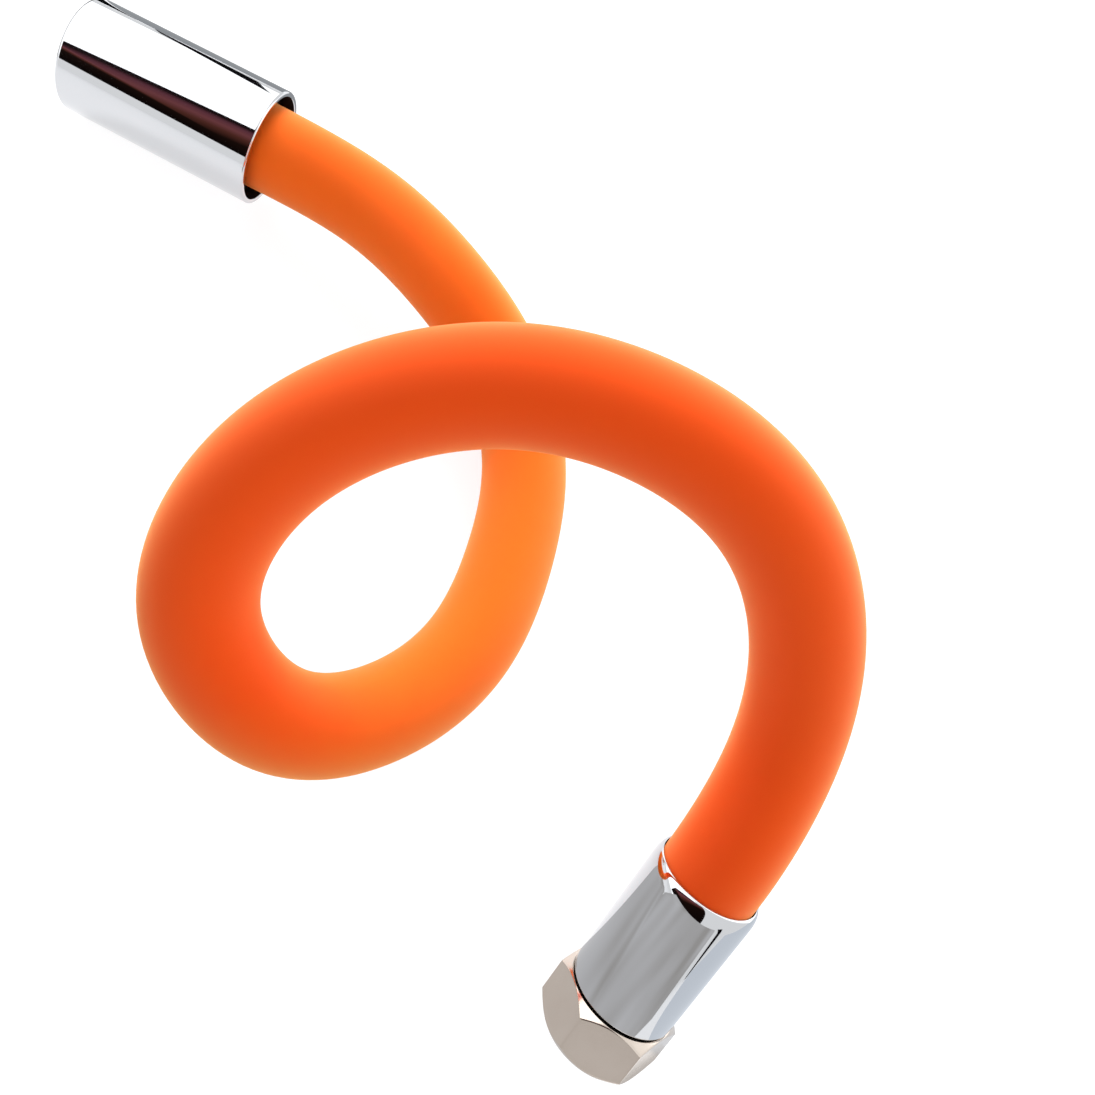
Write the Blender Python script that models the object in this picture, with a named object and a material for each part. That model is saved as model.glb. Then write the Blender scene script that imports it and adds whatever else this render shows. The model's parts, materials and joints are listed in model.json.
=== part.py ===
"""Faucet extension hose: a stay-put gooseneck spout, bent into a loop and lying on a flat surface.

Units are metres, +Z is up. The hose runs from the outlet ferrule, which holds the aerator, to the
inlet ferrule with its swivel nut. Each end has its own frame: an empty in the mouth of the ferrule,
whose +Z points out of the hose along the fitting's axis. Every fitting is turned about that axis.
"""

import math

import bmesh
import bpy
import numpy as np
from mathutils import Matrix, Vector

MM = 0.001

# Clearances
SEAT_GAP = 0.3 * MM
RUN_GAP = 0.4 * MM

# Route of the hose's centreline, in mm, from inside the outlet ferrule to inside the inlet ferrule.
# The first and the last two points lie on the ferrules' axes, and the second and the last but one
# are in the ferrules' mouths.
ROUTE = [
    (-108.5, 31.0, 14.0),
    (-77.5, 42.5, 16.5),
    (-53.5, 50.5, 17.5),
    (-26.5, 51.5, 18.0),
    (-3.5, 49.0, 13.5),
    (17.0, 36.5, 10.5),
    (31.0, 16.0, 11.0),
    (39.0, -8.0, 13.0),
    (36.5, -31.0, 17.5),
    (23.5, -49.0, 26.5),
    (2.5, -49.0, 40.5),
    (-5.5, -34.0, 56.5),
    (-0.5, -14.5, 71.5),
    (13.5, 2.0, 82.0),
    (35.0, 14.0, 87.0),
    (58.0, 19.5, 83.5),
    (79.5, 16.0, 70.5),
    (93.5, 4.0, 55.0),
    (101.0, -15.0, 40.5),
    (109.5, -38.0, 15.5),
]
SPAN_SAMPLES = 24
BEND_STEP = math.radians(18)
LONGEST_STEP = 20.0 * MM

# Hose, from the outside in
SLEEVE_DIAMETER = 20.0 * MM
SLEEVE_WALL = 1.6 * MM
SLEEVE_SIDES = 14
WIRE_DIAMETER = 2.6 * MM
WINDING_PITCH = 6.4 * MM
POINTS_PER_TURN = 6
INNER_HOSE_WALL = 1.3 * MM
INNER_HOSE_SIDES = 7

# Hose inserts, shared by both ends
HOSE_GRIP = 12.0 * MM
CUP_WALL = 3.0 * MM
POCKET_DEPTH = 11.0 * MM
BARB_COUNT = 3
BARB_HEIGHT = 0.35 * MM
BARB_TIP = 2.0 * MM
BARB_CREST_SHARE = 0.8
STEM_WALL = 0.6 * MM
CRIMP_LENGTH = 8.0 * MM
CRIMP_WALL = 0.8 * MM
CRIMP_GROOVE = 0.25 * MM

# Inlet ferrule and the insert's neck
INLET_FERRULE_LENGTH = 31.5 * MM
INLET_FERRULE_WALL = 0.95 * MM
INLET_END_WALL = 2.2 * MM
INLET_LIP_ROUND = 0.9 * MM
INLET_LIP_DEPTH = 2.4 * MM
INLET_BASE_ROUND = 0.4 * MM
INLET_BORE = 6.0 * MM
NECK_DIAMETER = 12.4 * MM
COLLAR_THICKNESS = 1.2 * MM

# Swivel nut for a G 1/2 thread, bored to the thread's crests
NUT_WALL = 2.185 * MM
NUT_HEIGHT = 12.0 * MM
NUT_FLANGE = 2.0 * MM
NUT_SOCKET_DIAMETER = 18.63 * MM
NUT_INNER_CHAMFER = 0.8 * MM
NUT_TOP_CHAMFER = 1.7 * MM
NUT_TOP_CHAMFER_WIDTH = 1.9 * MM
NUT_END_CHAMFER = 2.5 * MM
NUT_END_CHAMFER_WIDTH = 2.4 * MM
NUT_TURN = math.radians(12.7)
WASHER_THICKNESS = 1.8 * MM
WASHER_BORE = 9.0 * MM

# Outlet ferrule
OUTLET_FERRULE_LENGTH = 46.0 * MM
OUTLET_MOUTH_WALL = 3.4 * MM
OUTLET_MOUTH_RIM = 1.2 * MM
OUTLET_MOUTH_RECESS = 4.0 * MM
OUTLET_MOUTH_ROUND = 0.8 * MM
OUTLET_END_WALL = 1.7 * MM
OUTLET_END_ROUND = 1.0 * MM
OUTLET_LEDGE = 1.0 * MM
OUTLET_FLANGE = 4.2 * MM
DIFFUSER_WALL = 3.4 * MM
DIFFUSER_DEPTH = 3.0 * MM
O_RING_SECTION = 1.6 * MM
O_RING_SQUEEZE = 0.1 * MM
O_RING_SIDES = 5
AERATOR_WASHER_THICKNESS = 1.5 * MM

# Aerator, which screws into the outlet ferrule
AERATOR_RECESS = 0.6 * MM
HOUSING_WALL = 1.0 * MM
HOUSING_LIP = 1.3 * MM
HOUSING_LIP_THICKNESS = 1.2 * MM
KEY_NOTCH_WIDTH = 3.0 * MM
BODY_WALL = 1.4 * MM
BODY_LEDGE = 0.8 * MM
BODY_TOP_POCKET = 3.6 * MM
BODY_END_POCKET = 3.4 * MM
AIR_WINDOWS = 6
AIR_WINDOW_WIDTH = 2.4 * MM
STRAINER_RISE = 2.2 * MM
STRAINER_THICKNESS = 0.6 * MM
STRAINER_CROWN = math.radians(80)
STRAINER_HUB_RADIUS = 2.4 * MM
STRAINER_SLOTS = 6
STRAINER_SLOT_WIDTH = 1.0 * MM
JET_PLATE_THICKNESS = 1.2 * MM
JET_HOLES = 10
JET_HOLE_DIAMETER = 1.3 * MM
JET_CIRCLE_RADIUS = 4.6 * MM
SCREEN_THICKNESS = 0.3 * MM
SCREEN_COUNT = 2
GRID_CELL = 2.3 * MM
GRID_WEB = 0.6 * MM

OUTSIDE_STEPS = 24
NUT_STEPS = 24
INSIDE_STEPS = 18
CORNER_STEPS = 3


def linear_colour(code):
    """A colour given as an sRGB hex code, as the linear values that a material takes."""
    channels = [int(code[start : start + 2], 16) / 255 for start in (1, 3, 5)]
    return [c / 12.92 if c <= 0.04045 else ((c + 0.055) / 1.055) ** 2.4 for c in channels] + [1.0]


def material(name, code, roughness, metallic=0.0):
    made = bpy.data.materials.new(name)
    made.use_nodes = True
    shader = made.node_tree.nodes["Principled BSDF"]
    shader.inputs["Base Color"].default_value = linear_colour(code)
    shader.inputs["Roughness"].default_value = roughness
    shader.inputs["Metallic"].default_value = metallic
    return made


def new_object(name, shell, finish, parent):
    """A mesh object from a bmesh, with its faces turned outwards and its round faces smooth."""
    bmesh.ops.recalc_face_normals(shell, faces=shell.faces[:])
    mesh = bpy.data.meshes.new(name)
    shell.to_mesh(mesh)
    shell.free()
    mesh.shade_smooth()
    mesh.set_sharp_from_angle(angle=math.radians(35))
    made = bpy.data.objects.new(name, mesh)
    made.data.materials.append(finish)
    made.parent = parent
    bpy.context.scene.collection.objects.link(made)
    return made


def loft(shell, rings, capped):
    """Skins a row of rings of as many points each. The end rings are capped, or joined to each other."""
    rows = [[shell.verts.new(point) for point in ring] for ring in rings]
    pairs = list(zip(rows, rows[1:]))
    if capped:
        shell.faces.new(rows[0])
        shell.faces.new(rows[-1])
    else:
        pairs.append((rows[-1], rows[0]))
    count = len(rows[0])
    for first, second in pairs:
        for i in range(count):
            j = (i + 1) % count
            shell.faces.new((first[i], first[j], second[j], second[i]))


def turned(name, profile, steps, finish, parent):
    """A solid of revolution about Z, from a closed profile of (radius, height) points off the axis."""
    shell = bmesh.new()
    points = [shell.verts.new((radius, 0.0, height)) for radius, height in profile]
    edges = [shell.edges.new(pair) for pair in zip(points, points[1:] + points[:1])]
    bmesh.ops.spin(
        shell,
        geom=points + edges,
        axis=(0, 0, 1),
        cent=(0, 0, 0),
        angle=2 * math.pi,
        steps=steps,
        use_merge=True,
        use_duplicate=False,
    )
    return new_object(name, shell, finish, parent)


def turned_disc(name, radius, bottom, top, steps, finish, parent):
    """A plain round disc about Z."""
    shell = bmesh.new()
    bmesh.ops.create_cone(
        shell, cap_ends=True, segments=steps, radius1=radius, radius2=radius, depth=top - bottom
    )
    bmesh.ops.translate(shell, verts=shell.verts[:], vec=(0, 0, (top + bottom) / 2))
    return new_object(name, shell, finish, parent)


def circle_points(radius, count):
    return [
        (radius * math.cos(2 * math.pi * k / count), radius * math.sin(2 * math.pi * k / count))
        for k in range(count)
    ]


def corner_arc(radius, height, width, depth, start):
    """Points of a profile's rounded corner: a quarter ellipse about (radius, height), from the angle start."""
    angles = [start + math.pi / 2 * k / CORNER_STEPS for k in range(CORNER_STEPS + 1)]
    return [(radius + width * math.cos(a), height + depth * math.sin(a)) for a in angles]


def cut(target, cutter):
    """Takes the cutter's shape out of the target, and hides the cutter."""
    cutter.hide_render = True
    cutter.display_type = "WIRE"
    boolean = target.modifiers.new(cutter.name, "BOOLEAN")
    boolean.operation = "DIFFERENCE"
    boolean.solver = "EXACT"
    boolean.object = cutter


def prism_cutter(name, places, radius, sides, bottom, top, parent):
    """Upright prisms at each (x, y) place, as one cutter."""
    shell = bmesh.new()
    for x, y in places:
        place = Matrix.Translation((x, y, (top + bottom) / 2))
        bmesh.ops.create_cone(
            shell, cap_ends=True, segments=sides, radius1=radius, radius2=radius,
            depth=top - bottom, matrix=place,
        )
    return new_object(name, shell, None, parent)


def radial_slot_cutter(name, count, first_angle, width, inner, outer, bottom, top, parent):
    """Boxes that lie radially about Z, from the radius inner to the radius outer, as one cutter."""
    shell = bmesh.new()
    for k in range(count):
        angle = first_angle + 2 * math.pi * k / count
        size = Matrix.Diagonal((outer - inner, width, top - bottom, 1))
        middle = Matrix.Translation(((inner + outer) / 2, 0, (top + bottom) / 2))
        bmesh.ops.create_cube(shell, size=1, matrix=Matrix.Rotation(angle, 4, "Z") @ middle @ size)
    return new_object(name, shell, None, parent)


def spline_slopes(points, chords, first, last):
    """Slopes at the points of a curve with continuous curvature, given the slopes at its ends."""
    count = len(points)
    weights = np.zeros((count, count))
    right = np.zeros((count, 3))
    weights[0, 0] = weights[-1, -1] = 1
    right[0], right[-1] = first, last
    steps = np.diff(points, axis=0)
    for i in range(1, count - 1):
        before, after = chords[i - 1], chords[i]
        weights[i, i - 1] = 1 / before
        weights[i, i] = 2 / before + 2 / after
        weights[i, i + 1] = 1 / after
        right[i] = 3 * (steps[i - 1] / before**2 + steps[i] / after**2)
    return np.linalg.solve(weights, right)


def smooth_route():
    """Close points along the curve between the ferrules' mouths, and its unit directions there."""
    points = np.array(ROUTE) * MM
    outlet_way = points[1] - points[0]
    inlet_way = points[-1] - points[-2]
    middle = points[1:-1]
    chords = np.linalg.norm(np.diff(middle, axis=0), axis=1)
    slopes = spline_slopes(
        middle, chords, outlet_way / np.linalg.norm(outlet_way), inlet_way / np.linalg.norm(inlet_way)
    )
    line, ways = [], []
    for i, chord in enumerate(chords):
        last = i == len(chords) - 1
        for t in np.linspace(0, 1, SPAN_SAMPLES + 1)[: None if last else -1]:
            start, end = middle[i], middle[i + 1]
            a, b = slopes[i] * chord, slopes[i + 1] * chord
            line.append(
                (2 * t**3 - 3 * t**2 + 1) * start + (t**3 - 2 * t**2 + t) * a
                + (3 * t**2 - 2 * t**3) * end + (t**3 - t**2) * b
            )
            way = (6 * t**2 - 6 * t) * (start - end) + (3 * t**2 - 4 * t + 1) * a + (3 * t**2 - 2 * t) * b
            ways.append(way / np.linalg.norm(way))
    return np.array(line), np.array(ways)


class HoseLine:
    """The hose's centreline as a row of stations, each with its place and two axes across the hose.

    Lengths along it start at 0 in the outlet ferrule's mouth, and it runs straight on into both
    ferrules. Every layer of the hose is placed by point(), so the layers stay nested in a bend.
    """

    def __init__(self):
        line, ways = smooth_route()
        lengths = np.concatenate([[0], np.cumsum(np.linalg.norm(np.diff(line, axis=0), axis=1))])
        self.length = lengths[-1]
        kept = self.choose_stations(lengths, ways)
        side = np.cross(ways[0], (0, 0, 1))
        sides = [side / np.linalg.norm(side)]
        for way in ways[1:]:
            side = sides[-1] - way * (sides[-1] @ way)
            sides.append(side / np.linalg.norm(side))
        self.stations = lengths[kept]
        self.centres = line[kept]
        self.ways = ways[kept]
        self.across = np.array(sides)[kept]
        self.beside = np.cross(self.ways, self.across)

    @staticmethod
    def choose_stations(lengths, ways):
        """Closer stations where the hose bends more."""
        kept = [0]
        for i in range(1, len(lengths) - 1):
            bend = math.acos(min(1.0, float(ways[i + 1] @ ways[kept[-1]])))
            if bend > BEND_STEP or lengths[i + 1] - lengths[kept[-1]] > LONGEST_STEP:
                kept.append(i)
        return kept + [len(lengths) - 1]

    def point(self, along, radius, angle):
        """The point at a length along the hose, a radius from its centreline and an angle about it."""
        last = len(self.stations) - 1
        if along <= 0 or along >= self.length:
            k = 0 if along <= 0 else last
            centre = self.centres[k] + self.ways[k] * (along - self.stations[k])
            return centre + radius * (self.across[k] * math.cos(angle) + self.beside[k] * math.sin(angle))
        k = min(int(np.searchsorted(self.stations, along, side="right")) - 1, last - 1)
        share = (along - self.stations[k]) / (self.stations[k + 1] - self.stations[k])
        centre = (1 - share) * self.centres[k] + share * self.centres[k + 1]
        across = (1 - share) * self.across[k] + share * self.across[k + 1]
        beside = (1 - share) * self.beside[k] + share * self.beside[k + 1]
        return centre + radius * (across * math.cos(angle) + beside * math.sin(angle))

    def ring(self, along, radius, sides):
        return [self.point(along, radius, 2 * math.pi * k / sides) for k in range(sides)]


def hose_tube(name, line, outer, inner, sides, start, end, finish, parent):
    """A tube along the hose between two lengths, open at both ends."""
    stops = [start] + [s for s in line.stations if start < s < end] + [end]
    rings = [line.ring(s, outer, sides) for s in stops]
    rings += [line.ring(s, inner, sides) for s in reversed(stops)]
    shell = bmesh.new()
    loft(shell, rings, capped=False)
    return new_object(name, shell, finish, parent)


def hose_winding(name, line, section, start, end, finish, parent):
    """A wire wound round the hose, with a section of (offset along the hose, radius) points."""
    count = int((end - start) / WINDING_PITCH * POINTS_PER_TURN)
    rings = []
    for k in range(count + 1):
        along = start + WINDING_PITCH * k / POINTS_PER_TURN
        angle = 2 * math.pi * k / POINTS_PER_TURN
        rings.append([line.point(along + offset, radius, angle) for offset, radius in section])
    shell = bmesh.new()
    loft(shell, rings, capped=True)
    return new_object(name, shell, finish, parent)


def end_frame(name, centre, way, parent):
    """An empty in a ferrule's mouth, with +Z along way and +X level."""
    out = Vector(way).normalized()
    level = Vector((0, 0, 1)).cross(out).normalized()
    turn = Matrix((level, out.cross(level), out)).transposed()
    made = bpy.data.objects.new(name, None)
    made.empty_display_size = SLEEVE_DIAMETER / 2
    made.matrix_world = Matrix.Translation(centre) @ turn.to_4x4()
    made.parent = parent
    bpy.context.scene.collection.objects.link(made)
    return made


for old in list(bpy.data.objects):
    bpy.data.objects.remove(old, do_unlink=True)

orange_silicone = material("orange_silicone", "#F26A21", 0.5)
spring_steel = material("spring_steel", "#B9BCC0", 0.35, 1.0)
zinc_steel = material("zinc_steel", "#A6A9AC", 0.4, 1.0)
clear_rubber = material("inner_hose_rubber", "#E9E6DC", 0.45)
chrome = material("chrome", "#D5D7DA", 0.08, 1.0)
brass = material("brass", "#C9A45C", 0.3, 1.0)
aluminium = material("aluminium", "#C4C6C9", 0.4, 1.0)
black_rubber = material("black_rubber", "#262626", 0.7)
white_acetal = material("white_acetal", "#EDEDE8", 0.4)
steel_mesh = material("steel_mesh", "#A9ADB2", 0.4, 1.0)

root = bpy.data.objects.new("hose_root", None)
bpy.context.scene.collection.objects.link(root)
line = HoseLine()
outlet_end = end_frame("outlet_end", line.centres[0], -line.ways[0], root)
inlet_end = end_frame("inlet_end", line.centres[-1], line.ways[-1], root)

# Hose layers
sleeve_radius = SLEEVE_DIAMETER / 2
sleeve_bore = sleeve_radius - SLEEVE_WALL
hose_start = -HOSE_GRIP
hose_end = line.length + HOSE_GRIP
hose_tube(
    "outer_sleeve", line, sleeve_radius, sleeve_bore, SLEEVE_SIDES, hose_start, hose_end,
    orange_silicone, root,
)

# The round wire's turns stand a pitch apart, and the wedge wire lies in the groove between them.
# Their flanks slope alike, so the two wires rub on each other and hold any bend.
winding_radius = sleeve_bore * math.cos(math.pi / SLEEVE_SIDES) - SEAT_GAP
winding_bore = winding_radius - WIRE_DIAMETER
wire_half = WIRE_DIAMETER / 2
round_section = [
    (0, winding_radius),
    (wire_half, winding_radius - wire_half),
    (0, winding_bore),
    (-wire_half, winding_radius - wire_half),
]
wedge_half = WINDING_PITCH / 2 - SEAT_GAP * math.sqrt(2)
wedge_section = [
    (-wedge_half, winding_radius),
    (wedge_half, winding_radius),
    (0, winding_radius - wedge_half),
]
winding_start = hose_start + wedge_half
winding_end = hose_end - wedge_half
hose_winding(
    "gooseneck_round_wire", line, round_section, winding_start + WINDING_PITCH / 2,
    winding_end - WINDING_PITCH / 2, spring_steel, root,
)
hose_winding(
    "gooseneck_wedge_wire", line, wedge_section, winding_start, winding_end, zinc_steel, root,
)

inner_hose_radius = winding_bore * math.cos(math.pi / POINTS_PER_TURN) - SEAT_GAP
inner_hose_bore = inner_hose_radius - INNER_HOSE_WALL
cup_start = HOSE_GRIP + SEAT_GAP
pocket_floor = cup_start + POCKET_DEPTH
inner_hose_reach = pocket_floor - SEAT_GAP
hose_tube(
    "inner_hose", line, inner_hose_radius, inner_hose_bore, INNER_HOSE_SIDES, -inner_hose_reach,
    line.length + inner_hose_reach, clear_rubber, root,
)

# Inserts: a barbed stem inside the inner hose, and a cup whose rim stops the sleeve and the wires
barb_radius = inner_hose_bore * math.cos(math.pi / INNER_HOSE_SIDES) - SEAT_GAP
stem_radius = barb_radius - BARB_HEIGHT
stem_bore = stem_radius - STEM_WALL
stem_start = cup_start - BARB_TIP
cup_radius = sleeve_radius
pocket_radius = cup_radius - CUP_WALL
barb_pitch = (pocket_floor - stem_start) / (BARB_COUNT + 1)


def stem_and_cup():
    """The profile that both inserts share, from the stem's tip to the cup's outer edge."""
    points = [(stem_bore, stem_start), (stem_radius, stem_start)]
    for k in range(BARB_COUNT):
        crest = stem_start + barb_pitch * (k + BARB_CREST_SHARE)
        points += [(barb_radius, crest), (stem_radius, crest + BARB_HEIGHT / 2)]
    return points + [
        (stem_radius, pocket_floor),
        (pocket_radius, pocket_floor),
        (pocket_radius, cup_start),
        (cup_radius, cup_start),
    ]


def crimp_ring(name, parent):
    """A ring pressed round the inner hose over the stem, with a pressed groove between two lands."""
    inner = inner_hose_radius + SEAT_GAP
    outer = inner + CRIMP_WALL
    end = pocket_floor - (POCKET_DEPTH - CRIMP_LENGTH) / 2
    start = end - CRIMP_LENGTH
    third = CRIMP_LENGTH / 3
    profile = [
        (inner, start),
        (outer, start),
        (outer, start + third),
        (outer - CRIMP_GROOVE, start + third + CRIMP_GROOVE),
        (outer - CRIMP_GROOVE, end - third - CRIMP_GROOVE),
        (outer, end - third),
        (outer, end),
        (inner, end),
    ]
    turned(name, profile, INSIDE_STEPS, aluminium, parent)


crimp_ring("inlet_crimp_ring", inlet_end)
crimp_ring("outlet_crimp_ring", outlet_end)

# Inlet ferrule: a pressed shell with a rolled lip, whose end wall sits in the insert's neck
ferrule_bore = sleeve_radius + SEAT_GAP
inlet_radius = ferrule_bore + INLET_FERRULE_WALL
inlet_wall_start = INLET_FERRULE_LENGTH - INLET_END_WALL
neck_radius = NECK_DIAMETER / 2
neck_hole = neck_radius + SEAT_GAP
turned(
    "inlet_ferrule",
    [
        (ferrule_bore, inlet_wall_start),
        (ferrule_bore, 0),
        *corner_arc(
            inlet_radius - INLET_LIP_ROUND, INLET_LIP_DEPTH, INLET_LIP_ROUND, INLET_LIP_DEPTH, -math.pi / 2
        ),
        (inlet_radius, INLET_FERRULE_LENGTH - INLET_BASE_ROUND),
        (inlet_radius - INLET_BASE_ROUND, INLET_FERRULE_LENGTH),
        (neck_hole, INLET_FERRULE_LENGTH),
        (neck_hole, inlet_wall_start),
    ],
    OUTSIDE_STEPS,
    chrome,
    inlet_end,
)

# Inlet insert: its neck passes through the ferrule's end wall and the nut, and its collar holds the nut
nut_start = INLET_FERRULE_LENGTH + RUN_GAP
nut_end = nut_start + NUT_HEIGHT
collar_start = nut_start + NUT_FLANGE + RUN_GAP
collar_end = collar_start + COLLAR_THICKNESS
socket_radius = NUT_SOCKET_DIAMETER / 2
nut_half_flats = socket_radius + NUT_WALL
collar_radius = socket_radius - RUN_GAP
insert_end = inlet_wall_start - SEAT_GAP
bore_start = pocket_floor + STEM_WALL
bore_radius = INLET_BORE / 2
turned(
    "inlet_insert",
    [
        *stem_and_cup(),
        (cup_radius, insert_end),
        (neck_radius, insert_end),
        (neck_radius, collar_start),
        (collar_radius, collar_start),
        (collar_radius, collar_end),
        (bore_radius, collar_end),
        (bore_radius, bore_start + bore_radius - stem_bore),
        (stem_bore, bore_start),
    ],
    INSIDE_STEPS,
    brass,
    inlet_end,
)

washer_start = collar_end + SEAT_GAP
turned(
    "inlet_washer",
    [
        (WASHER_BORE / 2, washer_start),
        (collar_radius, washer_start),
        (collar_radius, washer_start + WASHER_THICKNESS),
        (WASHER_BORE / 2, washer_start + WASHER_THICKNESS),
    ],
    INSIDE_STEPS,
    black_rubber,
    inlet_end,
)


def hexagon_radius(angle):
    """Distance from the nut's axis to its flats, at an angle that is 0 on a corner."""
    from_flat = angle % (math.pi / 3) - math.pi / 6
    return nut_half_flats / math.cos(from_flat)


def swivel_nut():
    """A hexagonal nut, chamfered by a cone at each end, with a flange that turns on the insert's neck."""
    corner_radius = hexagon_radius(0)
    angles = [2 * math.pi * k / NUT_STEPS for k in range(NUT_STEPS)]

    def round_row(radius, height):
        return [(radius * math.cos(a), radius * math.sin(a), height) for a in angles]

    def flat_row(edge, chamfer, width):
        row = []
        for a in angles:
            radius = hexagon_radius(a)
            depth = chamfer * (1 - (corner_radius - radius) / width)
            row.append((radius * math.cos(a), radius * math.sin(a), edge + depth))
        return row

    flange_end = nut_start + NUT_FLANGE
    rows = [
        round_row(neck_radius + RUN_GAP, flange_end),
        round_row(neck_radius + RUN_GAP, nut_start),
        round_row(corner_radius - NUT_TOP_CHAMFER_WIDTH, nut_start),
        flat_row(nut_start, NUT_TOP_CHAMFER, NUT_TOP_CHAMFER_WIDTH),
        flat_row(nut_end, -NUT_END_CHAMFER, NUT_END_CHAMFER_WIDTH),
        round_row(corner_radius - NUT_END_CHAMFER_WIDTH, nut_end),
        round_row(socket_radius + NUT_INNER_CHAMFER, nut_end),
        round_row(socket_radius, nut_end - NUT_INNER_CHAMFER),
        round_row(socket_radius, flange_end),
    ]
    shell = bmesh.new()
    loft(shell, rows, capped=False)
    nut = new_object("inlet_nut", shell, chrome, inlet_end)
    nut.rotation_euler = (0, 0, NUT_TURN)


swivel_nut()

# Outlet ferrule: a turned shell with a sunk mouth round the hose, a ledge for the insert and the
# aerator's bore. It narrows a little towards the outlet.
aerator_bore = ferrule_bore + OUTLET_LEDGE
aerator_radius = aerator_bore - SEAT_GAP
outlet_mouth_radius = ferrule_bore + OUTLET_MOUTH_WALL
outlet_end_radius = aerator_bore + OUTLET_END_WALL
ledge = pocket_floor + STEM_WALL
turned(
    "outlet_ferrule",
    [
        (ferrule_bore, ledge),
        (ferrule_bore, OUTLET_MOUTH_RECESS),
        (outlet_mouth_radius - OUTLET_MOUTH_RIM, OUTLET_MOUTH_RECESS),
        (outlet_mouth_radius - OUTLET_MOUTH_RIM, 0),
        *corner_arc(
            outlet_mouth_radius - OUTLET_MOUTH_ROUND, OUTLET_MOUTH_ROUND, OUTLET_MOUTH_ROUND,
            OUTLET_MOUTH_ROUND, -math.pi / 2,
        ),
        *corner_arc(
            outlet_end_radius - OUTLET_END_ROUND, OUTLET_FERRULE_LENGTH - OUTLET_END_ROUND,
            OUTLET_END_ROUND, OUTLET_END_ROUND, 0,
        ),
        (aerator_bore, OUTLET_FERRULE_LENGTH),
        (aerator_bore, ledge),
    ],
    OUTSIDE_STEPS,
    chrome,
    outlet_end,
)

# Outlet insert: the shared stem and cup, and a flange with an O-ring groove and a widening outlet
flange_start = ledge + SEAT_GAP
flange_end = flange_start + OUTLET_FLANGE
groove_floor = aerator_bore - O_RING_SECTION - 2 * O_RING_SQUEEZE
groove_start = flange_start + (OUTLET_FLANGE - O_RING_SECTION) / 2 - SEAT_GAP
groove_end = groove_start + O_RING_SECTION + 2 * SEAT_GAP
diffuser_radius = aerator_radius - DIFFUSER_WALL
turned(
    "outlet_insert",
    [
        *stem_and_cup(),
        (cup_radius, flange_start),
        (aerator_radius, flange_start),
        (aerator_radius, groove_start),
        (groove_floor, groove_start),
        (groove_floor, groove_end),
        (aerator_radius, groove_end),
        (aerator_radius, flange_end),
        (diffuser_radius, flange_end),
        (stem_bore, flange_end - DIFFUSER_DEPTH),
    ],
    INSIDE_STEPS,
    brass,
    outlet_end,
)

ring_half = O_RING_SECTION / 2
ring_centre = aerator_bore - ring_half - O_RING_SQUEEZE
ring_height = (groove_start + groove_end) / 2
turned(
    "outlet_o_ring",
    [(ring_centre + x, ring_height + y) for x, y in circle_points(ring_half, O_RING_SIDES)],
    INSIDE_STEPS,
    black_rubber,
    outlet_end,
)

seal_start = flange_end + SEAT_GAP
seal_end = seal_start + AERATOR_WASHER_THICKNESS
turned(
    "aerator_washer",
    [
        (diffuser_radius, seal_start),
        (aerator_radius, seal_start),
        (aerator_radius, seal_end),
        (diffuser_radius, seal_end),
    ],
    INSIDE_STEPS,
    black_rubber,
    outlet_end,
)

# Aerator housing: a ring with an inner lip at its outlet and two notches for a key
housing_start = seal_end + SEAT_GAP
housing_end = OUTLET_FERRULE_LENGTH - AERATOR_RECESS
housing_bore = aerator_radius - HOUSING_WALL
lip_radius = housing_bore - HOUSING_LIP
lip_start = housing_end - HOUSING_LIP_THICKNESS
housing = turned(
    "aerator_housing",
    [
        (housing_bore, housing_start),
        (aerator_radius, housing_start),
        (aerator_radius, housing_end),
        (lip_radius, housing_end),
        (lip_radius, lip_start),
        (housing_bore, lip_start),
    ],
    OUTSIDE_STEPS,
    chrome,
    outlet_end,
)
cut(
    housing,
    radial_slot_cutter(
        "key_notch_cutter", 2, 0, KEY_NOTCH_WIDTH, lip_radius / 2, housing_bore,
        lip_start + SEAT_GAP, housing_end + SEAT_GAP, outlet_end,
    ),
)

# Aerator body: the plastic cartridge that carries the strainer, the jet plate, the screens and the grid
body_radius = housing_bore - SEAT_GAP
body_start = housing_start + SEAT_GAP
body_end = lip_start - SEAT_GAP
pocket = body_radius - BODY_WALL
chamber = pocket - BODY_LEDGE
chamber_start = body_start + BODY_TOP_POCKET
chamber_end = body_end - BODY_END_POCKET
body = turned(
    "aerator_body",
    [
        (pocket, body_start),
        (body_radius, body_start),
        (body_radius, body_end),
        (pocket, body_end),
        (pocket, chamber_end),
        (chamber, chamber_end),
        (chamber, chamber_start),
        (pocket, chamber_start),
    ],
    INSIDE_STEPS,
    white_acetal,
    outlet_end,
)
cut(
    body,
    radial_slot_cutter(
        "air_window_cutter", AIR_WINDOWS, 0, AIR_WINDOW_WIDTH, chamber / 2, housing_bore,
        chamber_start + BODY_LEDGE, chamber_end - BODY_LEDGE, outlet_end,
    ),
)

insert_radius = pocket - SEAT_GAP
jet_end = chamber_start - SEAT_GAP
jet_start = jet_end - JET_PLATE_THICKNESS
jet_plate = turned_disc(
    "aerator_jet_plate", insert_radius, jet_start, jet_end, INSIDE_STEPS, white_acetal, outlet_end
)
cut(
    jet_plate,
    prism_cutter(
        "jet_hole_cutter",
        circle_points(JET_CIRCLE_RADIUS, JET_HOLES),
        JET_HOLE_DIAMETER / 2, 6, jet_start - SEAT_GAP, jet_end + SEAT_GAP, outlet_end,
    ),
)

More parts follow.
